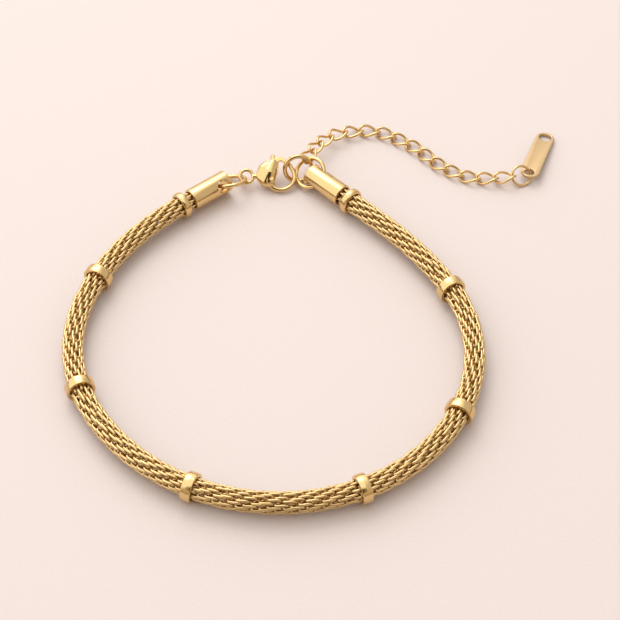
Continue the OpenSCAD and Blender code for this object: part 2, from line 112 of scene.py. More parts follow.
class Graph:
    """A node tree that is built with few words."""

    def __init__(self, tree: bpy.types.NodeTree) -> None:
        """Empties a tree.

        Args:
            tree: The node tree to build in.
        """
        self.tree = tree
        tree.nodes.clear()

    def node(
        self,
        kind: str,
        settings: dict[str, Any] | None = None,
        inputs: dict[int | str, Any] | None = None,
    ) -> bpy.types.Node:
        """Adds any node.

        Args:
            kind: Blender's name of the node type.
            settings: Properties of the node to set.
            inputs: Values or links for its inputs, by name or index.

        Returns:
            The new node.
        """
        node = self.tree.nodes.new(kind)
        for key, setting in (settings or {}).items():
            setattr(node, key, setting)
        for key, given in (inputs or {}).items():
            if isinstance(given, Value):
                given = given.socket
            if isinstance(given, bpy.types.NodeSocket):
                self.tree.links.new(given, node.inputs[key])
            elif given is not None:
                node.inputs[key].default_value = given
        return node

    def place(self) -> Value:
        """Returns the object coordinates in millimetres."""
        coordinates = self.node("ShaderNodeTexCoord").outputs["Object"]
        scaled = self.node(
            "ShaderNodeVectorMath", {"operation": "SCALE"}, {0: coordinates, "Scale": 1.0 / MM}
        )
        return Value(self, scaled.outputs[0])

    def noise(self, place: Value, scale: float, detail: float = 2.0) -> Value:
        """Adds a noise texture.

        Args:
            place: Where the texture is read, in millimetres.
            scale: Features per millimetre.
            detail: Octaves of finer noise.

        Returns:
            The noise, about 0.5 on average.
        """
        inputs = {"Vector": place, "Scale": scale, "Detail": detail}
        return Value(self, self.node("ShaderNodeTexNoise", {}, inputs).outputs[0])

    def spread(self, value: Value, low: float, high: float, start: float, end: float) -> Value:
        """Maps a range of a value to another range, and holds it there.

        Args:
            value: The value to map.
            low: The value that gives start.
            high: The value that gives end.
            start: Result at low.
            end: Result at high.

        Returns:
            The mapped value.
        """
        node = self.node("ShaderNodeMapRange", {}, {0: value, 1: low, 2: high, 3: start, 4: end})
        return Value(self, node.outputs[0])

    def mix(self, factor: Any, low: Any, high: Any) -> Value:
        """Mixes two colours.

        Args:
            factor: 0 for low and 1 for high.
            low: A Value or a colour.
            high: A Value or a colour.

        Returns:
            The mixed colour.
        """
        ends = [(*end, 1.0) if isinstance(end, tuple) else end for end in (low, high)]
        inputs = {0: factor, 6: ends[0], 7: ends[1]}
        node = self.node("ShaderNodeMix", {"data_type": "RGBA"}, inputs)
        return Value(self, node.outputs[2])

    def bump(self, height: Value, strength: float, distance: float) -> Value:
        """Makes a normal from a height.

        Args:
            height: The height, as a share of the distance.
            strength: How much of the bump shows.
            distance: The full height in millimetres.

        Returns:
            The bumped normal.
        """
        inputs = {"Height": height, "Strength": strength, "Distance": distance * MM}
        return Value(self, self.node("ShaderNodeBump", {}, inputs).outputs[0])


@dataclass(frozen=True)
class GoldFinish:
    """Polished gold plating, with the wear and unevenness that plating shows.

    Colours are linear. Scales are features per millimetre.
    """

    name: str
    colour: Colour = (0.79, 0.56, 0.265)
    deep: Colour = (0.72, 0.48, 0.2)
    roughness: float = 0.13
    roughness_spread: float = 0.1
    cloud_scale: float = 0.35
    grain_scale: float = 9.0
    grain_height: float = 0.004
    deep_share: float = 0.35
    cloud_part: float = 0.7
    deep_range: tuple[float, float] = (0.35, 0.7)
    rough_range: tuple[float, float] = (0.3, 0.7)
    bump: float = 0.35

    def material(self) -> bpy.types.Material:
        """Builds the material.

        Returns:
            The material, with its node tree.
        """
        material = bpy.data.materials.new(self.name)
        material.use_nodes = True
        graph = Graph(material.node_tree)
        place = graph.place()
        cloud = graph.noise(place, self.cloud_scale, 3.0)
        grain = graph.noise(place, self.grain_scale)
        tarnish = cloud * self.cloud_part + grain * (1.0 - self.cloud_part)
        share = graph.spread(tarnish, *self.deep_range, 0.0, self.deep_share)
        dullest = self.roughness + self.roughness_spread
        wear = cloud * 0.5 + grain * 0.5
        roughness = graph.spread(wear, *self.rough_range, self.roughness, dullest)
        shader = graph.node(
            "ShaderNodeBsdfPrincipled",
            {},
            {
                "Base Color": graph.mix(share, self.colour, self.deep),
                "Roughness": roughness,
                "Normal": graph.bump(grain, self.bump, self.grain_height),
                "Metallic": 1.0,
            },
        )
        graph.node("ShaderNodeOutputMaterial", {}, {"Surface": shader.outputs[0]})
        return material


@dataclass(frozen=True)
class ClothFinish:
    """The plain pale cloth that the bracelet lies on."""

    name: str = "pale_cloth"
    colour: Colour = (0.77, 0.685, 0.67)
    shade: Colour = (0.74, 0.655, 0.64)
    roughness: float = 0.62
    thread_scale: float = 3.0
    thread_range: tuple[float, float] = (0.3, 0.7)
    thread_height: float = 0.05
    bump: float = 0.2

    def material(self) -> bpy.types.Material:
        """Builds the material.

        Returns:
            The material, with its node tree.
        """
        material = bpy.data.materials.new(self.name)
        material.use_nodes = True
        graph = Graph(material.node_tree)
        thread = graph.noise(graph.place(), self.thread_scale)
        share = graph.spread(thread, *self.thread_range, 0.0, 1.0)
        shader = graph.node(
            "ShaderNodeBsdfPrincipled",
            {},
            {
                "Base Color": graph.mix(share, self.colour, self.shade),
                "Roughness": self.roughness,
                "Normal": graph.bump(thread, self.bump, self.thread_height),
            },
        )
        graph.node("ShaderNodeOutputMaterial", {}, {"Surface": shader.outputs[0]})
        return material


# Geometry


def unit(vectors: np.ndarray) -> np.ndarray:
    """Scales vectors to length 1.

    Args:
        vectors: One vector, or rows of vectors.

    Returns:
        The unit vectors.
    """
    return vectors / np.linalg.norm(vectors, axis=-1, keepdims=True)


def node_points(name: str) -> np.ndarray:
    """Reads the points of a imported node.

    Args:
        name: The node.

    Returns:
        Its different vertices as rows, in millimetres.
    """
    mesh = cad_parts[name].data
    flat = np.empty(len(mesh.vertices) * 3)
    mesh.vertices.foreach_get("co", flat)
    return np.unique((flat.reshape(-1, 3) / MM).round(5), axis=0)


@dataclass(frozen=True)
class Placement:
    """A local frame: its origin in millimetres, and its axes as the columns of a rotation."""

    origin: np.ndarray
    axes: np.ndarray

    @classmethod
    def along(cls, origin: np.ndarray, x_axis: np.ndarray, y_hint: np.ndarray) -> "Placement":
        """Makes a placement from its X axis and about where its Y axis points.

        Args:
            origin: The origin.
            x_axis: The direction of X.
            y_hint: A direction near Y.

        Returns:
            The placement.
        """
        x = unit(np.asarray(x_axis, float))
        z = unit(np.cross(x, y_hint))
        return cls(np.asarray(origin, float), np.column_stack([x, np.cross(z, x), z]))

    @classmethod
    def principal(cls, name: str) -> "Placement":
        """Finds the middle and the principal axes of a symmetric node, the longest first.

        Args:
            name: The node.

        Returns:
            The placement.
        """
        points = node_points(name)
        middle = (points.min(0) + points.max(0)) / 2.0
        axes = np.linalg.svd(points - points.mean(0), full_matrices=False)[2].T
        for _ in range(3):
            local = (points - middle) @ axes
            middle = middle + axes @ ((local.min(0) + local.max(0)) / 2.0)
        axes[:, 2] = np.cross(axes[:, 0], axes[:, 1])
        return cls(middle, axes)

    def place(self, points: np.ndarray) -> np.ndarray:
        """Moves local points to the row frame.

        Args:
            points: Rows of local points.

        Returns:
            The points in the row frame.
        """
        return self.origin + points @ self.axes.T

    def local(self, points: np.ndarray) -> np.ndarray:
        """Moves points of the row frame to this frame.

        Args:
            points: Rows of points.

        Returns:
            The local points.
        """
        return (points - self.origin) @ self.axes


@dataclass
class Shell:
    """Points and faces that are gathered for one piece, in millimetres."""

    points: list[np.ndarray] = field(default_factory=list)
    faces: list[list[int]] = field(default_factory=list)
    count: int = 0

    def add(self, points: np.ndarray, faces: np.ndarray | list[list[int]]) -> None:
        """Adds a patch of surface.

        Args:
            points: Its points as rows.
            faces: Its faces, which count from its own first point.
        """
        shifted = [[i + self.count for i in face] for face in faces]
        self.points.append(points)
        self.faces.extend(shifted)
        self.count += len(points)

    def tube(
        self,
        path: np.ndarray,
        outward: np.ndarray,
        radii: np.ndarray | float,
        sides: int,
        closed: bool,
    ) -> None:
        """Sweeps a round section along a path.

        Args:
            path: Middles of the sections.
            outward: For each, a direction roughly square to the path.
            radii: The radius, or one for each section.
            sides: Corners of a section.
            closed: True where the last section joins the first.
        """
        if closed:
            tangent = unit(np.roll(path, -1, 0) - np.roll(path, 1, 0))
        else:
            tangent = unit(np.gradient(path, axis=0))
        out = unit(outward - (outward * tangent).sum(1, keepdims=True) * tangent)
        side = np.cross(tangent, out)
        angle = np.arange(sides) * TURN / sides
        radius = np.broadcast_to(np.asarray(radii, float), (len(path),))[:, None, None]
        ring = np.cos(angle)[:, None] * out[:, None] + np.sin(angle)[:, None] * side[:, None]
        points = (path[:, None] + radius * ring).reshape(-1, 3)
        rows = len(path) if closed else len(path) - 1
        k, j = np.meshgrid(np.arange(rows), np.arange(sides), indexing="ij")
        ahead = (k + 1) % len(path)
        following = (j + 1) % sides
        quads = np.stack(
            [k * sides + j, ahead * sides + j, ahead * sides + following, k * sides + following], -1
        )
        faces = quads.reshape(-1, 4)[:, ::-1].tolist()
        if not closed:
            faces.append(list(range(sides)))
            faces.append([len(points) - 1 - j for j in range(sides)])
        self.add(points, faces)

    def lathe(self, profile: np.ndarray, placement: Placement, sides: int) -> None:
        """Turns a closed profile about the placement's X axis.

        Args:
            profile: Rows of distance along the axis and radius, in order round the profile.
            placement: Where the axis lies.
            sides: Sections round the axis.
        """
        angle = np.arange(sides) * TURN / sides
        along = np.broadcast_to(profile[:, 0], (sides, len(profile)))
        points = np.stack(
            [
                along,
                np.cos(angle)[:, None] * profile[:, 1],
                np.sin(angle)[:, None] * profile[:, 1],
            ],
            -1,
        ).reshape(-1, 3)
        size = len(profile)
        k, j = np.meshgrid(np.arange(sides), np.arange(size), indexing="ij")
        ahead, following = (k + 1) % sides, (j + 1) % size
        quads = np.stack(
            [k * size + j, k * size + following, ahead * size + following, ahead * size + j], -1
        )
        self.add(placement.place(points), quads.reshape(-1, 4).tolist())

    def mesh(self, name: str) -> bpy.types.Object:
        """Makes a Blender object of what was gathered.

        Args:
            name: The object's name.

        Returns:
            The object, linked to the scene.
        """
        data = bpy.data.meshes.new(name)
        data.from_pydata((np.vstack(self.points) * MM).tolist(), [], self.faces)
        data.validate()
        return linked(bpy.data.objects.new(name, data))


def linked(thing: bpy.types.Object) -> bpy.types.Object:
    """Links an object to the scene.

    Args:
        thing: The object.

    Returns:
        The same object.
    """
    bpy.context.scene.collection.objects.link(thing)
    return thing


def rounded_profile(
    outline: Sequence[tuple[float, float]], radii: Sequence[float], steps: int = 5
) -> np.ndarray:
    """Rounds the corners of a profile.

    Args:
        outline: The corners in order.
        radii: The rounding radius of each corner.
        steps: Points on each rounding, less one.

    Returns:
        The points of the rounded profile as rows.
    """
    spots = np.asarray(outline, float)
    rounded = []
    for i, spot in enumerate(spots):
        before = unit(spots[i - 1] - spot)
        after = unit(spots[(i + 1) % len(spots)] - spot)
        half = math.acos(float(np.clip(before @ after, -1.0, 1.0))) / 2.0
        reach = radii[i] / math.tan(half)
        start, end = spot + before * reach, spot + after * reach
        for t in np.linspace(0.0, 1.0, steps + 1):
            rounded.append((1 - t) ** 2 * start + 2 * t * (1 - t) * spot + t**2 * end)
    return np.array(rounded)


def finish_mesh(thing: bpy.types.Object, sharp: float = 40.0) -> None:
    """Makes a mesh face outward and shades it smooth up to an angle.

    Args:
        thing: The object.
        sharp: Angle in degrees from which an edge stays sharp.
    """
    work = bmesh.new()
    work.from_mesh(thing.data)
    bmesh.ops.recalc_face_normals(work, faces=work.faces)
    work.to_mesh(thing.data)
    work.free()
    for polygon in thing.data.polygons:
        polygon.use_smooth = True
    thing.data.set_sharp_from_angle(angle=math.radians(sharp))


def apply_modifiers(thing: bpy.types.Object) -> None:
    """Makes the result of an object's modifiers its own mesh.

    Args:
        thing: The object.
    """
    graph = bpy.context.evaluated_depsgraph_get()
    made = bpy.data.meshes.new_from_object(thing.evaluated_get(graph))
    thing.modifiers.clear()
    thing.data = made


def cut(thing: bpy.types.Object, cutters: Sequence[bpy.types.Object]) -> None:
    """Cuts solids out of an object and removes them.

    Args:
        thing: The object to cut.
        cutters: The solids.
    """
    for cutter in cutters:
        modifier = thing.modifiers.new("cut", "BOOLEAN")
        modifier.operation = "DIFFERENCE"
        modifier.solver = "EXACT"
        modifier.object = cutter
    apply_modifiers(thing)
    for cutter in cutters:
        bpy.data.objects.remove(cutter)


class Workshop:
    """Hands finished pieces to the frame and keeps count of them."""

    def __init__(self) -> None:
        """Builds the finishes."""
        self.finishes = {
            Slot.GOLD: GoldFinish("polished_gold").material(),
            Slot.MESH: GoldFinish(
                "knitted_gold",
                colour=(0.76, 0.55, 0.275),
                deep=(0.62, 0.41, 0.17),
                roughness=0.25,
                roughness_spread=0.12,
                cloud_scale=0.8,
                deep_share=0.6,
            ).material(),
            Slot.LEVER: GoldFinish(
                "lever_gold", colour=(0.86, 0.64, 0.3), roughness=0.12
            ).material(),
        }
        self.satin = GoldFinish(
            "satin_gold", colour=(0.6, 0.43, 0.235), deep=(0.53, 0.37, 0.19), roughness=0.34
        ).material()
        self.triangles = 0
        self.pieces = 0

    def hand_in(
        self,
        thing: bpy.types.Object,
        slot: Slot,
        replaces: Sequence[str] = (),
        body: Body = Body.BRACELET,
        finish: bpy.types.Material | None = None,
    ) -> None:
        """Gives a piece its finish and its place in the frame.

        Args:
            thing: The piece, in place.
            slot: Its material slot.
            replaces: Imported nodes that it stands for.
            body: The body that it rides on.
            finish: Its material, where that isn't its slot's own.
        """
        thing.data.materials.clear()
        thing.data.materials.append(finish or self.finishes[slot])
        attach(thing, body.value)
        if replaces:
            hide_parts(*replaces)
        count = sum(len(polygon.vertices) - 2 for polygon in thing.data.polygons)
        self.triangles += count
        self.pieces += 1
        log.info("%s: %d triangles", thing.name, count)

    def keep(self, name: str, slot: Slot) -> None:
        """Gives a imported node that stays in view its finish.

        Args:
            name: The node.
            slot: Its material slot.
        """
        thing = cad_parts[name]
        for material_slot in thing.material_slots:
            material_slot.material = self.finishes[slot]
        log.info("%s: packed node kept", name)


# The bracelet's sub-assemblies


@dataclass
class TubePath:
    """The centre line of the mesh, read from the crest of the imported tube.

    The distance is 0 where the mesh starts to bend, at the left cap.
    """

    tube_d: float = 3.2
    neck_d: float = 2.7
    neck_length: float = 1.0
    taper: float = 0.5
    crest_depth: float = 0.01
    tries: int = 8001

    def __post_init__(self) -> None:
        """Reads the crest points in order round the loop."""
        points = node_points("mesh_tube")
        crest = points[points[:, 2] > points[:, 2].max() - self.crest_depth]
        bearing = (np.arctan2(crest[:, 1], crest[:, 0]) - math.pi / 2.0) % TURN
        self.knots = crest[np.argsort(bearing)] - UP * self.tube_d / 2.0
        steps = np.linalg.norm(np.diff(self.knots, axis=0), axis=1)
        self.marks = np.concatenate([[0.0], np.cumsum(steps)])
        self.slopes = unit(np.gradient(self.knots, self.marks, axis=0, edge_order=2))

    @property
    def length(self) -> float:
        """The length of the bent part."""
        return float(self.marks[-1])

    def at(self, distance: np.ndarray) -> tuple[np.ndarray, np.ndarray, np.ndarray]:
        """Finds places on the centre line, which runs on straight beyond both ends.

        Args:
            distance: Distances along it.

        Returns:
            Points, directions, and level directions square to them.
        """
        inside = np.clip(distance, 0.0, self.length)
        k = np.clip(np.searchsorted(self.marks, inside, side="right") - 1, 0, len(self.marks) - 2)
        span = (self.marks[k + 1] - self.marks[k])[..., None]
        t = (inside - self.marks[k])[..., None] / span
        p0, p1 = self.knots[k], self.knots[k + 1]
        m0, m1 = self.slopes[k] * span, self.slopes[k + 1] * span
        point = (
            (2 * t**3 - 3 * t**2 + 1) * p0
            + (t**3 - 2 * t**2 + t) * m0
            + (3 * t**2 - 2 * t**3) * p1
            + (t**3 - t**2) * m1
        )
        rate = (
            (6 * t**2 - 6 * t) * (p0 - p1)
            + (3 * t**2 - 4 * t + 1) * m0
            + (3 * t**2 - 2 * t) * m1
        )
        direction = unit(rate)
        point = point + direction * (distance - inside)[..., None]
        return point, direction, np.cross(direction, UP)

    def nearest(self, point: np.ndarray) -> float:
        """Finds how far along the centre line a point lies.

        Args:
            point: The point.

        Returns:
            The distance along the centre line.
        """
        tries = np.linspace(0.0, self.length, self.tries)
        return float(tries[np.argmin(np.linalg.norm(self.at(tries)[0] - point, axis=1))])

    def shrink(self, distance: np.ndarray) -> np.ndarray:
        """Tells how much the tube is narrowed near its caps.

        Args:
            distance: Distances along the centre line.

        Returns:
            The narrowing of the radius.
        """
        beyond = np.maximum(-distance, distance - self.length)
        share = np.clip(beyond / self.taper, 0.0, 1.0)
        return (self.tube_d - self.neck_d) / 2.0 * share * share * (3.0 - 2.0 * share)


@dataclass
class Knit:
    """Rings of flattened wire coil, each hooked into the next, that make up the mesh."""

    wire: float = 0.41
    bars: int = 8
    pitch: float = 1.04
    half_bar: float = 0.84
    half_depth: float = 0.25
    flatness: float = 0.62
    outer_share: float = 0.26
    hooking: float = 0.055
    points_per_bar: int = 16
    sides: int = 8
    looseness: float = 0.075
    slip: float = 0.03
    lean: float = 0.0375
    seed: int = 7

    def build(self, path: TubePath, bands: Sequence["Band"], shop: Workshop) -> None:
        """Builds the mesh in one piece for each stretch between bands.

        Args:
            path: The centre line.
            bands: The bands in order.
            shop: Takes the pieces.
        """
        reach = path.neck_length + 2.0 * self.pitch
        count = round((path.length + 2.0 * reach) / self.pitch)
        middles = np.linspace(-reach, path.length + reach, count + 1)
        # Bars of every second ring lie in line, which fixes how far each ring is turned
        turn = (1.0 - self.outer_share * self.pitch / self.half_bar) / 2.0
        random = np.random.default_rng(self.seed)
        shift = np.cumsum(np.full(len(middles), turn))
        shift += random.normal(0.0, self.looseness, len(middles))
        middles += random.normal(0.0, self.slip, len(middles))
        edges = [-math.inf, *(band.distance for band in bands), math.inf]
        for i, (low, high) in enumerate(zip(edges, edges[1:])):
            shell = Shell()
            for k in np.flatnonzero((middles >= low) & (middles < high)):
                self._coil(shell, path, middles[k], shift[k], random)
            piece = shell.mesh(f"knit_{i + 1}")
            finish_mesh(piece, 180.0)
            shop.hand_in(piece, Slot.MESH, ["mesh_tube"] if i == 0 else [])

    def _coil(
        self,
        shell: Shell,
        path: TubePath,
        middle: float,
        shift: float,
        random: np.random.Generator,
    ) -> None:
        """Adds one ring of coil.

        Args:
            shell: Takes the ring.
            path: The centre line.
            middle: Distance of the ring's middle along it.
            shift: How far the ring is turned, in bars.
            random: Gives the unevenness.
        """
        count = self.bars * self.points_per_bar
        u = np.arange(count) * TURN / self.points_per_bar
        lean = random.normal(0.0, self.lean, self.bars)
        lean = np.interp(np.arange(count) / self.points_per_bar, np.arange(self.bars), lean)
        across = np.sign(np.cos(u)) * np.abs(np.cos(u)) ** self.flatness
        height = np.sign(np.sin(u)) * np.abs(np.sin(u)) ** self.flatness
        distance = middle + self.half_bar * across
        point, direction, side = path.at(distance)
        outer = (path.tube_d - self.wire) / 2.0 - path.shrink(distance)
        radius = outer + self.half_depth * (height - 1.0)
        # Outer bars run nearly straight: most of the way round is made at the ends and inside
        advance = u / TURN + (0.5 - self.outer_share) / 2.0 * (np.cos(u) - 1.0)
        advance += self.hooking * np.sin(2.0 * u)
        angle = (advance + shift + lean) * TURN / self.bars
        radial = np.cos(angle)[:, None] * side + np.sin(angle)[:, None] * UP
        outward = np.cos(u)[:, None] * direction + np.sin(u)[:, None] * radial
        shell.tube(point + radius[:, None] * radial, outward, self.wire / 2.0, self.sides, True)


@dataclass
class Band:
    """A polished ring threaded on the mesh."""

    number: int
    distance: float
    outer_d: float
    width: float
    edge_r: float
    crown: float
    bore: float = 3.36
    bore_r: float = 0.05
    crown_share: float = 0.8
    sides: int = 96

    @classmethod
    def read(cls, number: int, count: int, path: TubePath) -> "Band":
        """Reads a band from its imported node.

        Args:
            number: Its number, from 1.
            count: How many bands there are.
            path: The centre line.

        Returns:
            The band.
        """
        points = node_points(f"band_{number}")
        middle = (points.min(0) + points.max(0)) / 2.0
        distance = path.nearest(middle)
        along = (points - middle) @ path.at(np.array([distance]))[1][0]
        is_end = number in (1, count)
        return cls(
            number=number,
            distance=distance,
            outer_d=float(points[:, 2].max() - points[:, 2].min()),
            width=float(along.max() - along.min()),
            edge_r=0.34 if is_end else 0.16,
            crown=0.05 if is_end else 0.035,
        )

    def build(self, path: TubePath, shop: Workshop) -> None:
        """Builds the band.

        Args:
            path: The centre line.
            shop: Takes the piece.
        """
        point, direction, side = (row[0] for row in path.at(np.array([self.distance])))
        inner, outer, half = self.bore / 2.0, self.outer_d / 2.0, self.width / 2.0
        profile = rounded_profile(
            [
                (-half, inner),
                (-half, outer - self.crown),
                (0.0, outer + self.crown / 2.0),
                (half, outer - self.crown),
                (half, inner),
            ],
            [self.bore_r, self.edge_r, half * self.crown_share, self.edge_r, self.bore_r],
        )
        shell = Shell()
        shell.lathe(profile, Placement.along(point, direction, side), self.sides)
        piece = shell.mesh(f"polished_band_{self.number}")
        finish_mesh(piece, 50.0)
        shop.hand_in(piece, Slot.GOLD, [f"band_{self.number}"])


@dataclass
class EndCap:
    """A polished barrel with the mesh in its mouth and a cross hole at its closed end."""

    node: str
    outward: np.ndarray
    hole_tilt: float
    length: float = 6.9
    outer_d: float = 3.5
    bore: float = 2.9
    depth: float = 3.0
    hole_d: float = 2.3
    rim: float = 0.35
    centre: float = 0.02
    roundings: tuple[float, ...] = (0.005, 0.22, 0.12, 0.08, 0.1, 0.005)
    edge: float = 0.06
    edge_angle: float = 40.0
    sides: int = 128
    drill_sides: int = 64

    def build(self, shop: Workshop) -> None:
        """Builds the barrel.

        Args:
            shop: Takes the piece.
        """
        points = node_points(self.node)
        middle = (points.min(0) + points.max(0)) / 2.0
        placement = Placement.along(middle, self.outward, np.cross(UP, self.outward))
        half, outer, bore = self.length / 2.0, self.outer_d / 2.0, self.bore / 2.0
        profile = rounded_profile(
            [
                (half, self.centre),
                (half, outer),
                (-half, outer),
                (-half, bore),
                (self.depth - half, bore),
                (self.depth - half, self.centre),
            ],
            self.roundings,
        )
        shell = Shell()
        shell.lathe(profile, placement, self.sides)
        piece = shell.mesh(f"barrel_{self.node}")
        finish_mesh(piece)
        tilt = math.radians(self.hole_tilt)
        level = np.array([self.outward[1], -self.outward[0], 0.0])
        axis = math.cos(tilt) * level + math.sin(tilt) * UP
        hole = middle + self.outward * (half - self.rim - self.hole_d / 2.0)
        drill = Shell()
        reach = np.linspace(-self.outer_d, self.outer_d, 3)[:, None] * axis
        outward = np.tile(self.outward, (3, 1))
        drill.tube(hole + reach, outward, self.hole_d / 2.0, self.drill_sides, False)
        cutter = drill.mesh("drill")
        finish_mesh(cutter)
        cut(piece, [cutter])
        bevel = piece.modifiers.new("edge", "BEVEL")
        bevel.width = self.edge * MM
        bevel.segments = 2
        bevel.limit_method = "ANGLE"
        bevel.angle_limit = math.radians(self.edge_angle)
        apply_modifiers(piece)
        finish_mesh(piece)
        shop.hand_in(piece, Slot.GOLD, [self.node])


@dataclass
class JumpRing:
    """A ring of round wire, bent shut, with a fine seam where its ends meet."""

    node: str
    seam: float
    steps: int = 120
    sides: int = 20
    growth: float = 1.08
    seam_width: float = 0.05
    seam_depth: float = 0.05

    def build(self, shop: Workshop) -> None:
        """Builds the ring.

        Args:
            shop: Takes the piece.
        """
        placement = Placement.principal(self.node)
        local = placement.local(node_points(self.node))
        wire = float(local[:, 2].max() - local[:, 2].min())
        radius = (float(np.linalg.norm(local[:, :2], axis=1).max()) * 2.0 - wire) / 2.0
        normal = placement.axes[:, 2] * (1.0 if placement.axes[2, 2] > 0 else -1.0)
        level = unit(np.cross(normal, UP))
        steep = np.cross(normal, level)
        width = self.seam_width / radius
        rest = np.linspace(width, TURN - width, self.steps)
        around = np.concatenate([[0.0, width / 2.0], rest, [TURN - width / 2.0]])
        angle = math.radians(self.seam) + around
        radial = np.cos(angle)[:, None] * level + np.sin(angle)[:, None] * steep
        wires = np.full(len(angle), wire / 2.0 * self.growth)
        wires[0] -= self.seam_depth
        shell = Shell()
        shell.tube(placement.origin + radius * radial, radial, wires, self.sides, True)
        piece = shell.mesh(f"ring_{self.node}")
        finish_mesh(piece, 50.0)
        shop.hand_in(piece, Slot.GOLD, [self.node])


@dataclass
class ChainLink:
    """A link of curb chain: an oval of round wire whose two ends are twisted opposite ways."""

    number: int
    wire: float = 0.38
    drawn_wire: float = 0.44
    length: float = 3.75
    width: float = 2.45
    twist: float = 45.0
    steps: int = 72
    sides: int = 14

    def build(self, shop: Workshop) -> None:
        """Builds the link.

        Args:
            shop: Takes the piece.
        """
        node = f"chain_link_{self.number:02d}"
        placement = Placement.principal(node)
        t = np.arange(self.steps) * TURN / self.steps
        twist = -math.radians(self.twist) * np.cos(t)
        half, side = (self.length - self.wire) / 2.0, (self.width - self.wire) / 2.0
        path = np.column_stack(
            [half * np.cos(t), side * np.sin(t) * np.cos(twist), side * np.sin(t) * np.sin(twist)]
        )
        shell = Shell()
        world = placement.place(path)
        shell.tube(world, world - placement.origin, self.drawn_wire / 2.0, self.sides, True)
        piece = shell.mesh(f"curb_{node}")
        finish_mesh(piece, 180.0)
        shop.hand_in(piece, Slot.GOLD, [node])


@dataclass
class Casting:
    """A cast part of the clasp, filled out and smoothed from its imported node.

    Places are measured from the pin: X towards the hook, Y towards the knob, Z along the pin.
    """

    node: str
    name: str
    slot: Slot
    body: Body = Body.BRACELET
    voxel: float = 0.045
    easing: float = 0.5
    passes: int = 6

    def filling(self, placement: Placement) -> list[bpy.types.Object]:
        """Makes solids that are melted into the casting.

        Args:
            placement: The frame of the pin.

        Returns:
            The solids, none unless a kind of casting has some.
        """
        return []

    def reshape(self, local: np.ndarray) -> np.ndarray:
        """Moves the casting's points, which only some kinds of casting do.

        Args:
            local: Rows of points, measured from the pin.

        Returns:
            The moved points.
        """
        return local

    def build(self, shop: Workshop) -> None:
        """Builds the casting.

        Args:
            shop: Takes the piece.
        """
        pin = Placement.principal("clasp_pin")
        axis = pin.axes[:, 0] * (1.0 if pin.axes[2, 0] > 0 else -1.0)
        across = unit(np.cross(axis, np.array([1.0, 0.0, 0.0])))
        placement = Placement.along(pin.origin, np.cross(across, axis), across)
        work = bmesh.new()
        work.from_mesh(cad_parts[self.node].data)
        for solid in self.filling(placement):
            work.from_mesh(solid.data)
            bpy.data.objects.remove(solid)
        data = bpy.data.meshes.new(self.name)
        work.to_mesh(data)
        work.free()
        piece = linked(bpy.data.objects.new(self.name, data))
        remesh = piece.modifiers.new("remesh", "REMESH")
        remesh.mode = "VOXEL"
        remesh.voxel_size = self.voxel * MM
        apply_modifiers(piece)
        flat = np.empty(len(piece.data.vertices) * 3)
        piece.data.vertices.foreach_get("co", flat)
        moved = placement.place(self.reshape(placement.local(flat.reshape(-1, 3) / MM)))
        piece.data.vertices.foreach_set("co", (moved * MM).ravel())
        smooth = piece.modifiers.new("smooth", "SMOOTH")
        smooth.factor = self.easing
        smooth.iterations = self.passes
        apply_modifiers(piece)
        finish_mesh(piece, 180.0)
        shop.hand_in(piece, self.slot, [self.node], self.body)


@dataclass
class ClaspBody(Casting):
    """The clasp's body, filled out to a drop that leaves the lever its slot."""

    # Each round mass: along, up and radius
    masses: tuple[tuple[float, float, float], ...] = (
        (-2.2, 0.5, 0.4),
        (-1.2, 1.75, 0.95),
        (-0.55, 2.15, 0.95),
        (0.1, 2.3, 0.9),
        (0.7, 2.45, 0.75),
        (-0.4, 0.8, 1.25),
        (-0.95, -0.3, 0.9),
        (-0.2, -0.4, 0.9),
    )
    face_line: tuple[tuple[float, float], ...] = (
        (0.4, -1.65),
        (1.25, 3.7),
        (4.0, 3.7),
        (4.0, -1.65),
    )
    face_t: float = 6.0
    slot_line: tuple[tuple[float, float], ...] = (
        (-0.64, 0.0),
        (-0.5, 1.6),
        (-0.55, 2.5),
        (-0.9, 3.0),
        (-0.9, 4.1),
        (3.0, 4.1),
        (3.0, -0.4),
        (0.0, -0.65),
    )
    slot_t: float = 1.1
    subdivisions: int = 3

    def filling(self, placement: Placement) -> list[bpy.types.Object]:
        """Makes the drop: a skin stretched round the masses, less the cut face and the slot.

        Args:
            placement: The frame of the pin.

        Returns:
            The drop.
        """
        work = bmesh.new()
        for along, up, radius in self.masses:
            ball = bmesh.ops.create_icosphere(work, subdivisions=self.subdivisions, radius=radius)
            bmesh.ops.translate(work, verts=ball["verts"], vec=(along, up, 0.0))
        hull = bmesh.ops.convex_hull(work, input=work.verts)
        loose = [part for part in hull["geom_interior"] if isinstance(part, bmesh.types.BMVert)]
        bmesh.ops.delete(work, geom=loose, context="VERTS")
        data = bpy.data.meshes.new("drop")
        work.to_mesh(data)
        work.free()
        for vertex in data.vertices:
            vertex.co = Vector(placement.place(np.array(vertex.co)) * MM)
        drop = linked(bpy.data.objects.new("drop", data))
        face = self._prism(placement, self.face_line, self.face_t)
        slot = self._prism(placement, self.slot_line, self.slot_t)
        cut(drop, [face, slot])
        return [drop]

    def _prism(
        self, placement: Placement, outline: Sequence[tuple[float, float]], height: float
    ) -> bpy.types.Object:
        """Makes a cutter that is square to the pin.

        Args:
            placement: The frame of the pin.
            outline: Its corners.
            height: Its whole height along the pin.

        Returns:
            The cutter.
        """
        size = len(outline)
        half = height / 2.0
        points = np.array([[*spot, level] for level in (-half, half) for spot in outline])
        ends = [list(range(size)), list(range(size, 2 * size))]
        walls = [[i, (i + 1) % size, (i + 1) % size + size, i + size] for i in range(size)]
        shell = Shell()
        shell.add(placement.place(points), ends + walls)
        prism = shell.mesh("cutter")
        finish_mesh(prism)
        return prism


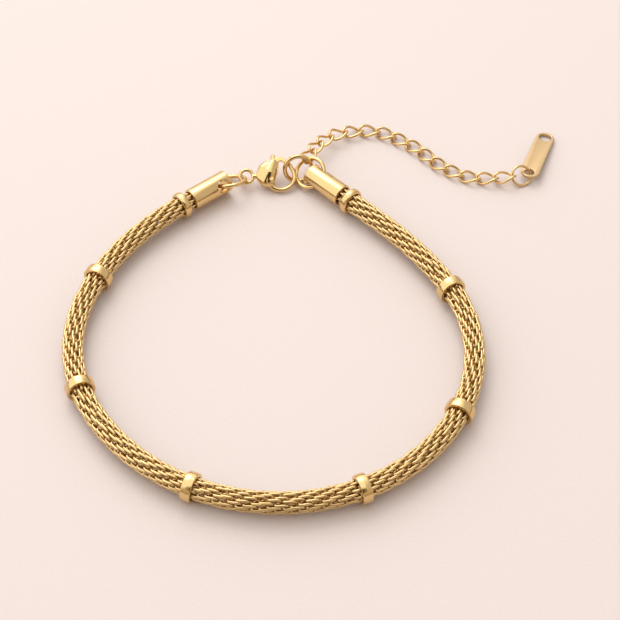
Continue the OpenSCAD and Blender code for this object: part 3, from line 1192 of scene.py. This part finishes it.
@dataclass
class ClaspLever(Casting):
    """The clasp's lever, whose gate is arched and is deepest where it leaves the body."""

    body: Body = Body.LEVER
    passes: int = 4
    gate_root: float = 0.6
    gate_tip: float = 2.0
    gate_floor: float = 2.1
    gate_middle: float = 2.75
    floor_fade: float = 0.25
    middle_fade: float = 0.3
    root_depth: float = 0.5
    arch: float = 0.12
    droop: float = 0.18
    droop_start: float = 0.6

    def reshape(self, local: np.ndarray) -> np.ndarray:
        """Arches the gate, deepens its root and lets its tip droop.

        Args:
            local: Rows of points, measured from the pin.

        Returns:
            The moved points.
        """
        x, y, z = local.T
        share = np.clip((x - self.gate_root) / (self.gate_tip - self.gate_root), 0.0, 1.0)
        near = np.clip((y - self.gate_floor) / self.floor_fade, 0.0, 1.0) * (share > 0.0)
        under = np.clip((self.gate_middle - y) / self.middle_fade, 0.0, 1.0)
        bulge = np.sin(math.pi * share)
        deeper = self.root_depth * bulge * (1.0 - share) * under
        tip = np.clip((share - self.droop_start) / (1.0 - self.droop_start), 0.0, 1.0)
        rise = self.arch * bulge - deeper - self.droop * tip**2
        return np.column_stack([x, y + near * rise, z])


@dataclass
class Tag:
    """The flat end plate, with a round hole, an oval slot and softly rounded rims."""

    length: float = 11.7
    width: float = 3.0
    thickness: float = 0.5
    hole_d: float = 1.4
    rim: float = 0.5
    slot_w: float = 1.6
    slot_l: float = 1.95
    slot_blunt: float = 0.75
    bevel: float = 0.13
    bevel_steps: int = 4
    weld: float = 0.0001
    steps: int = 48

    def outlines(self) -> list[np.ndarray]:
        """Draws the plate's outline and its holes, with the round hole's middle as the origin.

        Returns:
            Closed outlines as rows of points.
        """
        half = self.width / 2.0
        inset = self.rim + self.hole_d / 2.0
        near = half - inset
        far = self.length - inset - half
        right = np.linspace(-math.pi / 2.0, math.pi / 2.0, self.steps)
        left = right + math.pi
        outline = np.vstack(
            [
                np.column_stack([far + half * np.cos(right), half * np.sin(right)]),
                np.column_stack([near + half * np.cos(left), half * np.sin(left)]),
            ]
        )
        angle = np.linspace(0.0, TURN, self.steps, endpoint=False)
        around = np.column_stack([np.cos(angle), np.sin(angle)])
        blunt = np.sign(around) * np.abs(around) ** self.slot_blunt
        middle = far + half - self.rim - self.slot_w / 2.0
        slot = np.array([middle, 0.0]) + np.array([self.slot_w, self.slot_l]) / 2.0 * blunt
        return [outline, self.hole_d / 2.0 * around, slot]

    def build(self, shop: Workshop) -> None:
        """Builds the plate.

        Args:
            shop: Takes the piece.
        """
        points = node_points("tag")
        ring = Placement.principal("tag_ring").origin
        placement = Placement.principal("tag")
        along = placement.axes[:, 0]
        if (placement.origin - ring) @ along < 0.0:
            along = -along
        side = unit(np.cross(UP, along))
        half = float(np.abs((points - placement.origin) @ along).max())
        origin = placement.origin - along * (half - self.rim - self.hole_d / 2.0)
        placement = Placement.along(origin, along, side)
        curve = bpy.data.curves.new("tag", "CURVE")
        curve.dimensions = "2D"
        curve.fill_mode = "BOTH"
        curve.extrude = (self.thickness / 2.0 - self.bevel) * MM
        curve.bevel_depth = self.bevel * MM
        curve.bevel_resolution = self.bevel_steps
        curve.offset = -self.bevel * MM
        for outline in self.outlines():
            spline = curve.splines.new("POLY")
            spline.points.add(len(outline) - 1)
            spline.use_cyclic_u = True
            for spot, (x, y) in zip(spline.points, outline * MM):
                spot.co = (x, y, 0.0, 1.0)
        drawn = linked(bpy.data.objects.new("tag_drawing", curve))
        graph = bpy.context.evaluated_depsgraph_get()
        data = bpy.data.meshes.new_from_object(drawn.evaluated_get(graph))
        bpy.data.objects.remove(drawn)
        rows = [[*row, spot * MM] for row, spot in zip(placement.axes, placement.origin)]
        data.transform(Matrix([*rows, [0.0, 0.0, 0.0, 1.0]]))
        piece = linked(bpy.data.objects.new("end_tag", data))
        work = bmesh.new()
        work.from_mesh(data)
        bmesh.ops.remove_doubles(work, verts=work.verts, dist=self.weld * MM)
        work.to_mesh(data)
        work.free()
        finish_mesh(piece, 30.0)
        shop.hand_in(piece, Slot.GOLD, ["tag"], finish=shop.satin)


# Stage


@dataclass
class Studio:
    """The camera at the photograph's angle, the pale floor and soft light."""

    camera_place: tuple[float, float, float] = (5.333, -149.097, 190.44)
    elevation: float = 51.0
    lens: float = 95.0
    sensor: float = 36.0
    clip: tuple[float, float] = (0.01, 20.0)
    floor_size: float = 3000.0
    window: Colour = (1.0, 0.975, 0.93)
    ceiling: Colour = (0.5, 0.47, 0.43)
    rim: Colour = (0.16, 0.12, 0.08)
    front: Colour = (0.45, 0.37, 0.27)
    camera_side: Colour = (0.03, 0.024, 0.014)
    dark_elevation: float = 41.0
    dark_edge: tuple[float, float] = (0.89, 0.94)
    window_edge: tuple[float, float] = (0.15, 0.5)
    front_edge: tuple[float, float] = (-0.52, -0.42)
    horizon: tuple[float, float] = (0.09, 0.15)
    sky_strength: float = 1.45
    key_place: tuple[float, float, float] = (-110.0, 300.0, 360.0)
    key_size: float = 300.0
    key_power: float = 0.7
    key_colour: Colour = (1.0, 0.965, 0.92)

    def build(self) -> None:
        """Builds the camera, the floor, the world and the light."""
        bpy.context.scene.view_settings.view_transform = "Standard"
        self._camera()
        self._floor()
        self._world()
        self._light()

    def _camera(self) -> None:
        """Places the camera."""
        data = bpy.data.cameras.new("photo_camera")
        data.lens = self.lens
        data.sensor_width = self.sensor
        data.clip_start, data.clip_end = self.clip
        camera = linked(bpy.data.objects.new("photo_camera", data))
        camera.location = Vector(self.camera_place) * MM
        camera.rotation_euler = (math.radians(90.0 - self.elevation), 0.0, 0.0)
        bpy.context.scene.camera = camera

    def _floor(self) -> None:
        """Lays the floor."""
        half = self.floor_size / 2.0
        shell = Shell()
        signs = np.array([[-1.0, -1.0, 0.0], [1.0, -1.0, 0.0], [1.0, 1.0, 0.0], [-1.0, 1.0, 0.0]])
        shell.add(half * signs, [[0, 1, 2, 3]])
        floor = shell.mesh("floor")
        floor.data.materials.append(ClothFinish().material())

    def _world(self) -> None:
        """Makes a sky: bright, dimmer on the right and in front, dark round the camera."""
        world = bpy.data.worlds.new("studio")
        world.use_nodes = True
        bpy.context.scene.world = world
        graph = Graph(world.node_tree)
        direction = graph.node("ShaderNodeTexCoord").outputs["Generated"]
        parts = graph.node("ShaderNodeSeparateXYZ", {}, {0: direction})
        aside, depth, height = (Value(graph, parts.outputs[axis]) for axis in range(3))
        tilt = math.radians(self.dark_elevation)
        towards = (0.0, -math.cos(tilt), math.sin(tilt))
        facing = graph.node(
            "ShaderNodeVectorMath", {"operation": "DOT_PRODUCT"}, {0: direction, 1: towards}
        )
        right = graph.spread(aside, *self.window_edge, 0.0, 1.0)
        front = graph.spread(depth, *self.front_edge, 1.0, 0.0)
        near = graph.spread(Value(graph, facing.outputs[1]), *self.dark_edge, 0.0, 1.0)
        above = graph.mix(right, self.window, self.ceiling)
        above = graph.mix(front, above, self.front)
        above = graph.mix(near, above, self.camera_side)
        colour = graph.mix(graph.spread(height, *self.horizon, 0.0, 1.0), self.rim, above)
        background = graph.node(
            "ShaderNodeBackground", {}, {"Color": colour, "Strength": self.sky_strength}
        )
        graph.node("ShaderNodeOutputWorld", {}, {"Surface": background.outputs[0]})

    def _light(self) -> None:
        """Hangs the square soft light that faces the bracelet."""
        data = bpy.data.lights.new("key", "AREA")
        data.size = self.key_size * MM
        data.energy = self.key_power
        data.color = self.key_colour
        light = linked(bpy.data.objects.new("key", data))
        light.location = Vector(self.key_place) * MM
        light.rotation_euler = (-light.location).to_track_quat("-Z", "Y").to_euler()


@dataclass
class Bracelet:
    """The whole bracelet."""

    band_count: int = 8
    link_count: int = 15
    left_tilt: float = 28.0
    right_tilt: float = 35.0
    seams: tuple[tuple[str, float], ...] = (
        ("cap_link_left", 250.0),
        ("cap_link_right", 250.0),
        ("clasp_ring", 300.0),
        ("tag_ring", 200.0),
    )

    def build(self) -> Workshop:
        """Builds every piece.

        Returns:
            The workshop, with its counts.
        """
        shop = Workshop()
        path = TubePath()
        bands = [Band.read(i, self.band_count, path) for i in range(1, self.band_count + 1)]
        Knit().build(path, bands, shop)
        for band in bands:
            band.build(path, shop)
        ends = path.at(np.array([0.0, path.length]))[1]
        EndCap("end_cap_left", -ends[0], self.left_tilt).build(shop)
        EndCap("end_cap_right", ends[1], self.right_tilt).build(shop)
        for node, seam in self.seams:
            JumpRing(node, seam).build(shop)
        for i in range(1, self.link_count + 1):
            ChainLink(i).build(shop)
        ClaspBody("clasp_body", "clasp_casting", Slot.GOLD).build(shop)
        ClaspLever("clasp_lever", "lever_casting", Slot.LEVER).build(shop)
        Tag().build(shop)
        shop.keep("clasp_pin", Slot.GOLD)
        return shop


def main() -> None:
    """Builds the scene and reports each piece."""
    logging.basicConfig(level=logging.INFO, format="%(message)s")
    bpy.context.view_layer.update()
    Studio().build()
    shop = Bracelet().build()
    log.info("%d pieces, %d triangles", shop.pieces, shop.triangles)


if __name__ == "__main__":
    main()
